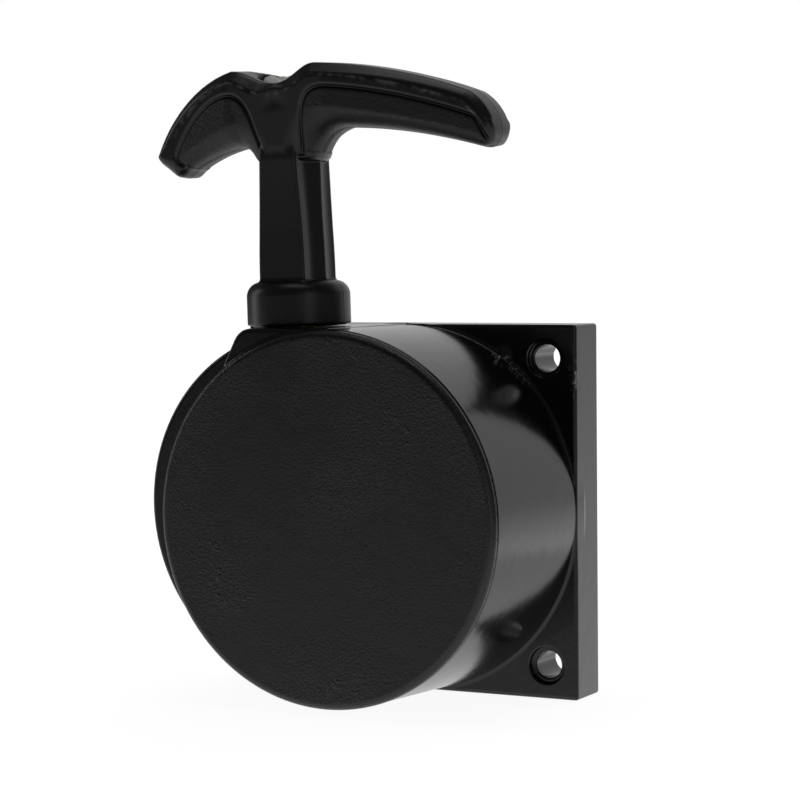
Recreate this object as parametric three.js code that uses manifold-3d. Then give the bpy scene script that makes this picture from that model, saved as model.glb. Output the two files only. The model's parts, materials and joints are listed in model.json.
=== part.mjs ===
// Recoil (pull) starter for a small engine: a square-flanged cast housing with a T-handle on a rope.
// Millimetres, +Z up. The origin is the centre of the flange's rear face, which bolts to the engine.
// +Y points towards the engine, so the closed cap of the housing faces -Y. The drum axis is the Y axis.

import * as THREE from 'three';
import { mergeVertices } from 'three/addons/utils/BufferGeometryUtils.js';
import Module from 'manifold-3d';

const wasm = await Module();
wasm.setup();

// ---- Driving dimensions ----------------------------------------------------------------------

const GAP = 0.3;                 // running and seating clearance between neighbours
const ROUND = 60;                // segments round a large circle
const SMALL_ROUND = 24;          // segments round a small circle

// Housing casting
const FLANGE = 75;               // side of the square flange
const FLANGE_THICK = 11;
const FLANGE_EDGE = 0.8;         // edge rounding of the flange
const HOLE_SPACING = 61.5;       // square pattern of the four bolt holes
const HOLE_R = 2.75;             // clearance for M5
const SPOT_R = 3.85;             // spot face round each hole
const SPOT_DEPTH = 1.2;
const DRUM_BASE_R = 37.4;        // drum where it meets the flange
const DRUM_CAP_R = 36.9;         // drum at the closed cap
const DRUM_DEPTH = 35.2;         // from the flange's front face to the cap's face
const DRUM_RISE = 0.6;           // the cap's centre lies this far above the drum axis
const DRUM_DRIFT = -0.8;          // and this far to the left
const CAP_EDGE = 1.5;            // rounding of the cap's rim
const LOBE_R = 34.8;              // eccentric bulge on the rope side
const LOBE_X = -7.4;
const LOBE_Z = 2.4;
const LOBE_SETBACK = 4;          // the bulge starts this far behind the cap's face
const BOSS_SETBACK = 1.8;        // the rope boss starts this far behind the cap's face
const BOSS_TOP = 37.5;
const BOSS_LEFT = -20;           // left end of the boss's flat top
const BOSS_SLOPE = 27;           // degrees that the boss's side leans out from vertical
const HEAD_RELIEF_R = 5;         // pocket in the bulge for the head of the screw on the rope side
const HEAD_RELIEF_LENGTH = 22;
const CAP_WALL = 2.6;
const CAVITY_R = 33.2;           // pulley chamber
const SPRING_CHAMBER_R = 32;
const POST_R = 5.5;
const POST_TAP_R = 3.15;         // core of the tapped hole in the post

// Stations along the Y axis, from the cap (most negative) to the engine side
const FLANGE_FRONT = -FLANGE_THICK;
const CAP_FACE = FLANGE_FRONT - DRUM_DEPTH;
const CAP_INSIDE = CAP_FACE + CAP_WALL;
const CASE_FLOOR = CAP_INSIDE + GAP;
const SHEET = 0.7;               // sheet metal of the spring case and cover
const SPRING_START = CASE_FLOOR + SHEET + 0.4;
const SPRING_WIDTH = 6.5;
const COVER_START = SPRING_START + SPRING_WIDTH + 0.4;
const PULLEY_START = COVER_START + SHEET + GAP;
const PULLEY_RIM = 1.8;          // thickness of each pulley flange
const GROOVE_START = PULLEY_START + PULLEY_RIM;
const GROOVE_WIDTH = 7.7;
const GROOVE_MID = GROOVE_START + GROOVE_WIDTH / 2;
const PLATFORM_START = GROOVE_START + GROOVE_WIDTH + PULLEY_RIM;
const PAWL_SEAT = PLATFORM_START + 2.2;
const PAWL_START = PAWL_SEAT + GAP;
const PAWL_THICK = 3.8;
const HUB_END = PAWL_START + PAWL_THICK - 0.6;
const THRUST_START = HUB_END + GAP;
const PLATE_START = PAWL_START + PAWL_THICK + 0.4;
const PLATE_THICK = 1.2;
const BRAKE_START = PLATE_START + PLATE_THICK + GAP;
const BRAKE_LENGTH = 3.4;
const POST_END = BRAKE_START + BRAKE_LENGTH + GAP;
const WASHER_START = POST_END + GAP;
const WASHER_THICK = 1;
const SCREW_HEAD_START = WASHER_START + WASHER_THICK + GAP;
const SCREW_HEAD_THICK = 3.6;

// Pulley and rope
const ROPE_R = 1.75;
const PULLEY_R = 29.5;
const CORE_R = 17;               // floor of the rope groove
const ROPE_LAYERS = 3;
const WINDING_R = CORE_R + ROPE_LAYERS * 2 * ROPE_R;
const SLEEVE_IN = POST_R + GAP;
const SLEEVE_OUT = 7.4;
const PULLEY_BORE = SLEEVE_OUT + GAP;
const SPRING_HUB_R = 9.4;
const PLATFORM_R = 22.5;
const HUB_R = 10.2;
const KNOT_POCKET_R = 3;
const KNOT_POCKET_AT = 13.5;     // radius of the anchor knot's pocket
const ANCHOR_KNOT_R = 2.6;

// Recoil spring
const SPRING_THICK = 0.6;
const SPRING_IN = 10.4;
const SPRING_OUT = 29.6;
const SPRING_TURNS = 6;
const SPRING_STEPS = 28;         // straight steps in a turn

// Pawls and guide plate
const PIN_AT = 14.6;             // radius of the pawl pins
const PIN_R = 2.2;
const PAWL_REACH = 14.5;         // from pin to tip
const PEG_R = 1.3;
const PEG_ALONG = 6.4;           // the peg's place on the pawl, from the pin
const PEG_OUT = 0.4;
const PAWL_SWING = 32;           // degrees each pawl swings out
const PLATE_TURN = 24;           // degrees the guide plate lags behind the pulley
const PLATE_R = 22.6;

// Handle, in its own frame: origin on the rope axis at the boss's top, Z up the stem
const HANDLE_X = -15.1;
const HANDLE_LEAN = 1.3;         // degrees the rope axis leans towards -X
const COLLAR_R = 10.4;
const COLLAR_BOTTOM = 0.35;
const COLLAR_TOP = 9.2;
const COLLAR_EDGE = 3;
const COLLAR_RECESS_R = 5.4;     // clears the guide bush's flange
const COLLAR_RECESS_TOP = 2;
const HANDLE_BORE_R = ROPE_R + 0.35;
const KNOT_WELL_R = 5.2;         // half its width; it is longer along the bar
const KNOT_WELL_STRETCH = 1.4;
const KNOT_WELL_FLOOR = 42;
const TOP_KNOT_R = 3.6;
const DIP_Z = 48.5;              // lowest point of the dip between the two shoulders
const STEM_HALF = 6.5;
const STEM_HALF_THICK = 6.7;
const GRIP_HALF_THICK = 8.7;     // at the middle of the bar
const TIP_HALF_THICK = 5;
const TIP_LEFT = -29.5;
const TIP_RIGHT = 46.1;
const GRIP_BEVEL = 1.6;
const BUSH_OUT = 3.3;
const BUSH_FLANGE_R = 4.2;
const BUSH_LENGTH = 7;
const ROPE_BEND = 4;             // the rope turns into the handle's axis this far below the boss's top

// Lean of the rope between the winding and the bush, from vertical: it leaves the outer layer at a tangent.
const ROPE_SLANT = ropeSlant();

// ---- Helpers ---------------------------------------------------------------------------------

const radians = THREE.MathUtils.degToRad;

/** A solid for joining and cutting, made from a closed geometry. */
function solid(geometry) {
  const bare = geometry.clone();
  bare.deleteAttribute('normal');
  bare.deleteAttribute('uv');
  const merged = mergeVertices(bare, 1e-4);
  return new wasm.Manifold(new wasm.Mesh({
    numProp: 3,
    vertProperties: new Float32Array(merged.attributes.position.array),
    triVerts: new Uint32Array(merged.index.array),
  }));
}

/** The geometry of a joined or cut solid. */
function geometryOf(manifold) {
  const mesh = manifold.getMesh();
  const geometry = new THREE.BufferGeometry();
  geometry.setAttribute('position', new THREE.BufferAttribute(new Float32Array(mesh.vertProperties), 3));
  geometry.setIndex(new THREE.BufferAttribute(new Uint32Array(mesh.triVerts), 1));
  geometry.computeVertexNormals();
  return geometry;
}

/** Turns [radius, y] points into a solid of revolution about the Y axis. The outline closes on itself. */
function turned(points, segments = ROUND) {
  const outline = points.map(([radius, y]) => new THREE.Vector2(radius, y));
  const area = outline.reduce((sum, p, i) => {
    const q = outline[(i + 1) % outline.length];
    return sum + p.x * q.y - q.x * p.y;
  }, 0);
  if (area < 0) outline.reverse();
  outline.push(outline[0].clone());
  return new THREE.LatheGeometry(outline, segments);
}

/** A cylinder along Y from one station to another. */
function rod(radius, from, to, segments = SMALL_ROUND) {
  return new THREE.CylinderGeometry(radius, radius, to - from, segments).translate(0, (from + to) / 2, 0);
}

/** A ring about Y between two radii and two stations. */
function ring(inner, outer, from, to, segments = ROUND) {
  return turned([[inner, from], [outer, from], [outer, to], [inner, to]], segments);
}

/** Extrudes a shape drawn in X and Z along Y, from one station to another. */
function slab(shape, from, to, options = {}) {
  const { bevel = 0, curveSegments = 12 } = options;
  const geometry = new THREE.ExtrudeGeometry(shape, {
    depth: to - from - 2 * bevel,
    bevelEnabled: bevel > 0,
    bevelSize: bevel,
    bevelOffset: -bevel,
    bevelThickness: bevel,
    bevelSegments: 2,
    curveSegments,
  });
  return geometry.translate(0, 0, -(to - bevel)).rotateX(Math.PI / 2);
}

/** Rounded corner points of an outline, from one angle to another, in degrees. */
function arc(centreX, centreY, radius, from, to, steps) {
  return Array.from({ length: steps + 1 }, (_, i) => {
    const angle = radians(from + (to - from) * i / steps);
    return [centreX + radius * Math.cos(angle), centreY + radius * Math.sin(angle)];
  });
}

/** The point at a radius and an angle round the Y axis, measured from +X towards +Z. */
function polar(radius, degrees, y = 0) {
  return new THREE.Vector3(radius * Math.cos(radians(degrees)), y, radius * Math.sin(radians(degrees)));
}

/** A round tube along a curve, with closed ends. */
function tube(curve, radius, steps, sides = 8) {
  const section = new THREE.Shape();
  section.absarc(0, 0, radius, 0, 2 * Math.PI);
  return new THREE.ExtrudeGeometry(section, { extrudePath: curve, steps, curveSegments: sides / 2 });
}

/** The angle, in radians, from vertical of the tangent from the bend to the winding's outer layer. */
function ropeSlant() {
  const layer = WINDING_R - ROPE_R;
  const bendZ = BOSS_TOP - ROPE_BEND;
  const away = Math.hypot(HANDLE_X, bendZ);
  return Math.asin(layer / away) - Math.atan2(-HANDLE_X, bendZ);
}

function mesh(name, geometry, material) {
  const part = new THREE.Mesh(geometry, material);
  part.name = name;
  return part;
}

// ---- Materials -------------------------------------------------------------------------------

const finish = (color, roughness, metalness) => () =>
  new THREE.MeshStandardMaterial({ color, roughness, metalness });

const blackPaint = finish(0x17181a, 0.38, 0.35);
const blackPlastic = finish(0x1c1c1e, 0.5, 0);
const steel = finish(0x9a9da1, 0.32, 0.9);
const springSteel = finish(0x5d6670, 0.35, 0.9);
const zinc = finish(0xb9b8ae, 0.4, 0.8);
const nylon = finish(0x26272a, 0.5, 0);
const ropeWhite = finish(0xe9e7e0, 0.85, 0);
const brass = finish(0xb08d48, 0.4, 0.8);
const fibre = finish(0x6b4a35, 0.8, 0);

// ---- Housing ---------------------------------------------------------------------------------

/** A closed drum with a rounded rim at its front, from a front station back into the flange. */
function drum(frontR, backR, front) {
  const back = FLANGE_FRONT + 1;
  const rim = arc(frontR - CAP_EDGE, front + CAP_EDGE, CAP_EDGE, -90, 0, 4);
  return turned([[0, front], ...rim, [backR, back], [0, back]]);
}

/** The main drum. Its centre line climbs slightly, and drifts to the rope's side, towards the cap. */
function mainDrum() {
  const lean = new THREE.Matrix4().makeShear(0, 0, -DRUM_DRIFT / DRUM_DEPTH, -DRUM_RISE / DRUM_DEPTH, 0, 0);
  const foot = FLANGE_FRONT / DRUM_DEPTH;
  return drum(DRUM_CAP_R, DRUM_BASE_R, CAP_FACE).applyMatrix4(lean).translate(DRUM_DRIFT * foot, 0, DRUM_RISE * foot);
}

/** The boss that the rope comes out of: a flat top with one sloping side. */
function ropeBoss() {
  const corner = 2;
  const foot = 20;
  const outline = new THREE.Shape();
  outline.moveTo(0, foot);
  outline.lineTo(0, BOSS_TOP);
  outline.lineTo(BOSS_LEFT + corner, BOSS_TOP);
  outline.quadraticCurveTo(BOSS_LEFT, BOSS_TOP, BOSS_LEFT - 0.9, BOSS_TOP - 1.8);
  outline.lineTo(BOSS_LEFT - (BOSS_TOP - foot) * Math.tan(radians(BOSS_SLOPE)) * 0.5, foot + 8);
  outline.lineTo(BOSS_LEFT, foot);
  return slab(outline, CAP_FACE + BOSS_SETBACK, FLANGE_FRONT + 1, { bevel: 0.6, curveSegments: 5 });
}

/** The square flange. */
function flange() {
  const half = FLANGE / 2;
  const outline = new THREE.Shape([
    new THREE.Vector2(-half, -half),
    new THREE.Vector2(half, -half),
    new THREE.Vector2(half, half),
    new THREE.Vector2(-half, half),
  ]);
  return slab(outline, FLANGE_FRONT, 0, { bevel: FLANGE_EDGE });
}

/** Everything that is bored out of the casting from the engine side, leaving the post in the middle. */
function housingCavity() {
  return turned([
    [POST_R, POST_END], [POST_R, CAP_INSIDE], [SPRING_CHAMBER_R, CAP_INSIDE],
    [SPRING_CHAMBER_R, PULLEY_START], [CAVITY_R, PULLEY_START], [CAVITY_R, 1], [0, 1], [0, POST_END],
  ]);
}

function housing() {
  const lobe = drum(LOBE_R, LOBE_R + 0.4, CAP_FACE + LOBE_SETBACK).translate(LOBE_X, 0, LOBE_Z);
  let body = solid(flange()).add(solid(mainDrum())).add(solid(lobe)).add(solid(ropeBoss()));
  body = body.subtract(solid(housingCavity()));
  for (const sideX of [-1, 1]) {
    for (const sideZ of [-1, 1]) {
      const x = sideX * HOLE_SPACING / 2;
      const z = sideZ * HOLE_SPACING / 2;
      const hole = rod(HOLE_R, FLANGE_FRONT - 1, 1).translate(x, 0, z);
      const spot = rod(SPOT_R, FLANGE_FRONT - 1, FLANGE_FRONT + SPOT_DEPTH).translate(x, 0, z);
      body = body.subtract(solid(hole)).subtract(solid(spot));
    }
  }
  const headRelief = rod(HEAD_RELIEF_R, FLANGE_FRONT - HEAD_RELIEF_LENGTH, FLANGE_FRONT, ROUND)
    .translate(-HOLE_SPACING / 2, 0, HOLE_SPACING / 2);
  const bushSeat = rod(BUSH_OUT + GAP, BOSS_TOP - 15, BOSS_TOP + 5).rotateX(Math.PI / 2)
    .translate(HANDLE_X, GROOVE_MID, 0);
  const ropeRelief = rod(BUSH_OUT, -18, 0).rotateX(Math.PI / 2).rotateY(ROPE_SLANT)
    .translate(HANDLE_X, GROOVE_MID, BOSS_TOP - ROPE_BEND);
  const tapped = rod(POST_TAP_R, POST_END - 12, POST_END + 1);
  body = body.subtract(solid(headRelief)).subtract(solid(bushSeat)).subtract(solid(ropeRelief))
    .subtract(solid(tapped));
  return mesh('housing', geometryOf(body), blackPaint());
}

/** The trumpet-mouthed bush that the rope runs over, in the boss. */
function ropeGuideBush() {
  const neck = ROPE_R + 0.35;
  const bottom = BOSS_TOP - BUSH_LENGTH;
  const top = BOSS_TOP + 1;
  const flare = 0.9;
  const outline = [
    [BUSH_OUT, bottom], [BUSH_OUT, BOSS_TOP + GAP], [BUSH_FLANGE_R, BOSS_TOP + GAP], [BUSH_FLANGE_R, top],
    [neck + flare, top],
    ...arc(neck + flare, top - flare, flare, 90, 180, 3).slice(1),
    [neck, BOSS_TOP - 3], [neck + flare, bottom],
  ];
  const bush = turned(outline, SMALL_ROUND).rotateX(Math.PI / 2).translate(HANDLE_X, GROOVE_MID, 0);
  return mesh('rope_guide_bush', bush, brass());
}

// ---- Recoil spring and its case --------------------------------------------------------------

function springCase() {
  const wall = 31.5;
  const outline = [
    [SLEEVE_OUT + 0.6, CASE_FLOOR], [wall, CASE_FLOOR], [wall, COVER_START + SHEET],
    [wall - SHEET, COVER_START + SHEET], [wall - SHEET, CASE_FLOOR + SHEET], [SLEEVE_OUT + 0.6, CASE_FLOOR + SHEET],
  ];
  return mesh('spring_case', turned(outline), zinc());
}

function springCover() {
  const cover = ring(SPRING_HUB_R + 1.4, 30.4, COVER_START, COVER_START + SHEET);
  return mesh('spring_cover', cover, zinc());
}

/** A flat strip wound into a spiral. Its inner end hooks inwards, into the pulley's spring hub. */
function recoilSpring() {
  const steps = SPRING_TURNS * SPRING_STEPS;
  const edge = (offset) => Array.from({ length: steps + 1 }, (_, i) => {
    const share = i / steps;
    const radius = SPRING_IN + (SPRING_OUT - SPRING_IN) * share + offset;
    const p = polar(radius, 360 * SPRING_TURNS * share);
    return new THREE.Vector2(p.x, p.z);
  });
  const hookR = SPRING_HUB_R - 1.1;
  const inner = edge(-SPRING_THICK / 2);
  const outer = edge(SPRING_THICK / 2);
  const hook = [new THREE.Vector2(hookR, 0), new THREE.Vector2(hookR, -SPRING_THICK)];
  const outerStart = new THREE.Vector2(SPRING_IN + SPRING_THICK / 2, -SPRING_THICK);
  const outline = new THREE.Shape([outerStart, ...outer, ...inner.reverse(), ...hook]);
  return mesh('recoil_spring', slab(outline, SPRING_START, SPRING_START + SPRING_WIDTH), springSteel());
}

function postSleeve() {
  return mesh('post_sleeve', ring(SLEEVE_IN, SLEEVE_OUT, CAP_INSIDE + GAP, HUB_END, 40), steel());
}

// ---- Pulley ----------------------------------------------------------------------------------

const PAWL_ANGLES = { a: 0, b: 180 };
const ANCHOR_ANGLE = 90;

function ropePulley() {
  const hubStart = CASE_FLOOR + SHEET + 0.4;
  const outline = [
    [PULLEY_BORE, hubStart], [SPRING_HUB_R, hubStart], [SPRING_HUB_R, PULLEY_START], [PULLEY_R, PULLEY_START],
    [PULLEY_R, GROOVE_START], [CORE_R, GROOVE_START], [CORE_R, GROOVE_START + GROOVE_WIDTH],
    [PULLEY_R, GROOVE_START + GROOVE_WIDTH], [PULLEY_R, PLATFORM_START], [PLATFORM_R, PLATFORM_START],
    [PLATFORM_R, PAWL_SEAT], [HUB_R, PAWL_SEAT], [HUB_R, HUB_END], [PULLEY_BORE, HUB_END],
  ];
  let body = solid(turned(outline));
  for (const angle of Object.values(PAWL_ANGLES)) {
    const at = polar(PIN_AT, angle);
    body = body.subtract(solid(rod(PIN_R + GAP, GROOVE_START + 2, PAWL_SEAT + 1).translate(at.x, 0, at.z)));
  }
  const knotAt = polar(KNOT_POCKET_AT, ANCHOR_ANGLE);
  const pocket = rod(KNOT_POCKET_R, PAWL_SEAT - 2 * ANCHOR_KNOT_R - 2, PAWL_SEAT + 1).translate(knotAt.x, 0, knotAt.z);
  const hookSlot = new THREE.BoxGeometry(4, SPRING_WIDTH + 2, SPRING_THICK + 3 * GAP)
    .translate(SPRING_HUB_R, SPRING_START + SPRING_WIDTH / 2 - 1, -SPRING_THICK / 2);
  body = body.subtract(solid(pocket)).subtract(solid(hookSlot));
  return mesh('rope_pulley', geometryOf(body), nylon());
}

/** The rope's turns on the pulley, as one closed ring. */
function ropeWinding() {
  const winding = ring(CORE_R + GAP, WINDING_R, GROOVE_START + GAP, GROOVE_START + GROOVE_WIDTH - GAP);
  return mesh('rope_winding', winding, ropeWhite());
}

function anchorKnot() {
  const at = polar(KNOT_POCKET_AT, ANCHOR_ANGLE, PAWL_SEAT - ANCHOR_KNOT_R - 0.5);
  const knot = new THREE.SphereGeometry(ANCHOR_KNOT_R, 16, 10).translate(at.x, at.y, at.z);
  return mesh('rope_anchor_knot', knot, ropeWhite());
}

function pawlPin(letter) {
  const at = polar(PIN_AT, PAWL_ANGLES[letter]);
  const pin = rod(PIN_R, GROOVE_START + 2 + GAP, PAWL_START + PAWL_THICK).translate(at.x, 0, at.z);
  return mesh(`pawl_pin_${letter}`, pin, steel());
}

// ---- Pawls and guide plate -------------------------------------------------------------------

/** A pawl drawn for the pin at angle 0: it trails from the pin round the hub, and its tip swings outwards. */
function pawl(letter) {
  const outline = new THREE.Shape();
  outline.absarc(0, 0, PIN_R + 2.1, radians(-20), radians(200), false);
  outline.quadraticCurveTo(-3.2, -7, 0.5, -PAWL_REACH + 2);
  outline.lineTo(1.8, -PAWL_REACH - 1);
  outline.lineTo(5.6, -PAWL_REACH + 0.8);
  outline.quadraticCurveTo(6, -7, 4.1, -1.5);
  const eye = new THREE.Path();
  eye.absarc(0, 0, PIN_R + GAP, 0, 2 * Math.PI, true);
  outline.holes.push(eye);
  const blade = solid(slab(outline, PAWL_START, PAWL_START + PAWL_THICK, { curveSegments: 10 }));
  const peg = rod(PEG_R, PAWL_START + 1, PLATE_START + PLATE_THICK + 0.6).translate(PEG_OUT, 0, -PEG_ALONG);
  const shape = geometryOf(blade.add(solid(peg))).translate(PIN_AT, 0, 0);
  shape.rotateY(-radians(PAWL_ANGLES[letter]));
  return mesh(`pawl_${letter}`, shape, steel());
}

/** Where pawl a's peg is, seen from the guide plate, once the plate has lagged by some degrees. */
function pegOnPlate(lag) {
  const swing = -radians(lag * PAWL_SWING / PLATE_TURN);
  const up = new THREE.Vector3(0, 1, 0);
  const peg = new THREE.Vector3(PEG_OUT, 0, -PEG_ALONG).applyAxisAngle(up, swing).add(polar(PIN_AT, 0));
  return peg.applyAxisAngle(up, radians(lag));
}

/** A cam slot that follows the peg through its whole travel. */
function camSlot(turn) {
  const steps = 8;
  const path = Array.from({ length: steps + 1 }, (_, i) => {
    const p = pegOnPlate(PLATE_TURN * i / steps);
    return new THREE.Vector2(p.x, p.z).rotateAround(new THREE.Vector2(), radians(turn));
  });
  const width = PEG_R + GAP;
  const side = (sign) => path.map((p, i) => {
    const before = path[Math.max(i - 1, 0)];
    const after = path[Math.min(i + 1, steps)];
    const along = after.clone().sub(before).normalize();
    return new THREE.Vector2(p.x - sign * along.y * width, p.y + sign * along.x * width);
  });
  const end = (at, next) => {
    const along = at.clone().sub(next).normalize();
    const start = Math.atan2(along.y, along.x);
    return [-60, -30, 0, 30, 60].map((d) => new THREE.Vector2(
      at.x + width * Math.cos(start + radians(d)), at.y + width * Math.sin(start + radians(d))));
  };
  const far = end(path[steps], path[steps - 1]);
  const near = end(path[0], path[1]);
  return new THREE.Path([...side(-1), ...far, ...side(1).reverse(), ...near]);
}

function guidePlate() {
  const outline = new THREE.Shape();
  outline.absarc(0, 0, PLATE_R, 0, 2 * Math.PI);
  const centre = new THREE.Path();
  centre.absarc(0, 0, POST_R + 0.4, 0, 2 * Math.PI, true);
  outline.holes.push(centre, camSlot(0), camSlot(180));
  const plate = slab(outline, PLATE_START, PLATE_START + PLATE_THICK, { curveSegments: 28 });
  return mesh('guide_plate', plate, zinc());
}

// ---- Centre stack ----------------------------------------------------------------------------

function thrustWasher() {
  const washer = ring(POST_R + 0.4, HUB_R - 0.2, THRUST_START, PLATE_START - GAP, 40);
  return mesh('thrust_washer', washer, fibre());
}

/** A short coil spring that presses the guide plate so that it lags behind the pulley. */
function brakeSpring() {
  const turns = 2.25;
  const wire = 0.45;
  const radius = POST_R + 1.6;
  class Helix extends THREE.Curve {
    getPoint(t, target = new THREE.Vector3()) {
      const angle = 2 * Math.PI * turns * t;
      const y = BRAKE_START + wire + 0.1 + (BRAKE_LENGTH - 2 * wire - 0.2) * t;
      return target.set(radius * Math.cos(angle), y, radius * Math.sin(angle));
    }
  }
  return mesh('brake_spring', tube(new Helix(), wire, 48), springSteel());
}

function screwWasher() {
  return mesh('screw_washer', ring(3.4, 8.6, WASHER_START, WASHER_START + WASHER_THICK, 40), zinc());
}

function centreScrew() {
  const headR = 5.6;
  const head = rod(headR, SCREW_HEAD_START, SCREW_HEAD_START + SCREW_HEAD_THICK, 6);
  const shank = rod(POST_TAP_R - GAP, POST_END - 11, SCREW_HEAD_START + 1);
  return mesh('centre_screw', geometryOf(solid(head).add(solid(shank))), steel());
}

// ---- Rope end and handle ---------------------------------------------------------------------

/** The front outline of the grip: a short wing for one finger on -X, a long one for two on +X, and the stem. */
function gripOutline() {
  const outline = new THREE.Shape();
  outline.moveTo(STEM_HALF, COLLAR_TOP - 2);
  outline.lineTo(STEM_HALF - 0.4, 30);
  outline.bezierCurveTo(6.3, 34.5, 8.4, 38.8, 13.5, 39.2);
  outline.quadraticCurveTo(28, 38.2, 42.8, 33.9);
  outline.bezierCurveTo(45.2, 33.4, TIP_RIGHT + 0.1, 35, TIP_RIGHT, 37.6);
  outline.bezierCurveTo(45.6, 40.2, 43.9, 42.8, 41, 44.6);
  outline.bezierCurveTo(33, 47.9, 20, 51.2, 8.4, 52);
  outline.bezierCurveTo(4.6, 52.2, 3.6, DIP_Z, -0.7, DIP_Z);
  outline.bezierCurveTo(-4.6, DIP_Z, -7.2, 51.4, -11, 51.4);
  outline.bezierCurveTo(-20.5, 49.3, -26.6, 42, TIP_LEFT, 36.2);
  outline.bezierCurveTo(TIP_LEFT - 0.6, 35, TIP_LEFT - 0.2, 33.8, -27, 32.3);
  outline.quadraticCurveTo(-24.6, 30.3, -22.4, 32.3);
  outline.quadraticCurveTo(-18.5, 34.7, -13.8, 35.7);
  outline.bezierCurveTo(-9.5, 36.8, -6.9, 36, -STEM_HALF + 0.4, 30);
  outline.lineTo(-STEM_HALF, COLLAR_TOP - 2);
  return outline;
}

/** 0 up to the first value, 1 from the second value on, and smooth between them. */
function ease(from, to, value) {
  const t = Math.min(Math.max((value - from) / (to - from), 0), 1);
  return t * t * (3 - 2 * t);
}

/** Half the grip's thickness at a place on its outline: thick at the head, thin at the tips and down the stem. */
function gripHalfThickness(x, z) {
  const shoulder = 4;
  const tip = x > 0 ? TIP_RIGHT : TIP_LEFT;
  const reach = Math.max(Math.abs(x) - shoulder, 0) / (Math.abs(tip) - shoulder);
  const bar = GRIP_HALF_THICK - (GRIP_HALF_THICK - TIP_HALF_THICK) * reach;
  const head = Math.max(ease(26, 42, z), ease(8, 12, Math.abs(x)));
  return STEM_HALF_THICK + (bar - STEM_HALF_THICK) * head;
}

/** The grip and stem: the outline as a slab with bevelled edges, squeezed to its thickness at each place. */
function gripBar() {
  const bar = slab(gripOutline(), -GRIP_HALF_THICK, GRIP_HALF_THICK, { bevel: GRIP_BEVEL, curveSegments: 7 });
  const at = bar.getAttribute('position');
  for (let i = 0; i < at.count; i += 1) {
    const squeeze = gripHalfThickness(at.getX(i), at.getZ(i)) / GRIP_HALF_THICK;
    at.setY(i, at.getY(i) * squeeze);
  }
  return bar;
}

/** The round skirt that sits over the boss. */
function collar() {
  const shoulder = arc(COLLAR_R - COLLAR_EDGE, COLLAR_TOP - COLLAR_EDGE, COLLAR_EDGE, 0, 90, 4);
  const outline = [[0, COLLAR_RECESS_TOP], [COLLAR_RECESS_R, COLLAR_RECESS_TOP], [COLLAR_RECESS_R, COLLAR_BOTTOM],
    [COLLAR_R, COLLAR_BOTTOM], ...shoulder, [0, COLLAR_TOP]];
  return turned(outline, 48).rotateX(Math.PI / 2);
}

function handle() {
  const bore = rod(HANDLE_BORE_R, -1, 60).rotateX(Math.PI / 2);
  const well = rod(KNOT_WELL_R, KNOT_WELL_FLOOR, 60, 32).rotateX(Math.PI / 2).scale(KNOT_WELL_STRETCH, 1, 1);
  const body = solid(gripBar()).add(solid(collar())).subtract(solid(bore)).subtract(solid(well));
  return mesh('handle', geometryOf(body), blackPlastic());
}

function knotWasher() {
  const washer = ring(ROPE_R + 0.35, 4.6, KNOT_WELL_FLOOR + GAP, KNOT_WELL_FLOOR + GAP + 0.8, 32);
  return mesh('knot_washer', washer.rotateX(Math.PI / 2), zinc());
}

const TOP_KNOT_Z = KNOT_WELL_FLOOR + GAP + 0.8 + GAP + TOP_KNOT_R;

function topKnot() {
  const knot = new THREE.SphereGeometry(TOP_KNOT_R, 20, 12).translate(0, 0, TOP_KNOT_Z);
  return mesh('rope_top_knot', knot, ropeWhite());
}

/** The straight run of rope from the winding, over the bush and up the handle's bore to the knot. */
function ropeLead() {
  const run = 11;                                       // it clears the winding this far below the bend
  const soft = 3;                                       // half length of the bend
  const bend = new THREE.Vector3(0, 0, -ROPE_BEND);
  const slant = ROPE_SLANT + radians(HANDLE_LEAN);      // seen in the handle's leaning frame
  const below = (length) => bend.clone().add(
    new THREE.Vector3(-length * Math.sin(slant), 0, -length * Math.cos(slant)));
  const above = bend.clone().setZ(bend.z + soft);
  const top = new THREE.Vector3(0, 0, TOP_KNOT_Z - TOP_KNOT_R - GAP);
  const path = new THREE.CurvePath();
  path.add(new THREE.LineCurve3(below(run), below(soft)));
  path.add(new THREE.QuadraticBezierCurve3(below(soft), bend, above));
  path.add(new THREE.LineCurve3(above, top));
  return mesh('rope_lead', tube(path, ROPE_R, 32), ropeWhite());
}

// ---- Assembly --------------------------------------------------------------------------------

const handleSet = new THREE.Group();
handleSet.position.set(HANDLE_X, GROOVE_MID, BOSS_TOP);
handleSet.rotation.y = -radians(HANDLE_LEAN);
handleSet.add(handle(), knotWasher(), topKnot(), ropeLead());

const starter = new THREE.Group();
starter.add(
  housing(), ropeGuideBush(), springCase(), springCover(), recoilSpring(), postSleeve(),
  ropePulley(), ropeWinding(), anchorKnot(), pawlPin('a'), pawlPin('b'), pawl('a'), pawl('b'),
  guidePlate(), thrustWasher(), brakeSpring(), screwWasher(), centreScrew(), handleSet,
);

export default starter;
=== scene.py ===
"""Looks for the recoil starter: a black cast housing with a T-handle, its rope and its inner works.

Lengths inside the shape functions are millimetres in the part's frame, and finished meshes are metres.
The housing and the handle are surfaces of distance fields, so that every edge has its cast or moulded
rounding. The other pieces are turned, swept or extruded meshes.
"""

import json
import math

import bmesh
import bpy
import numpy as np
from mathutils import Matrix, Vector

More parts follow.
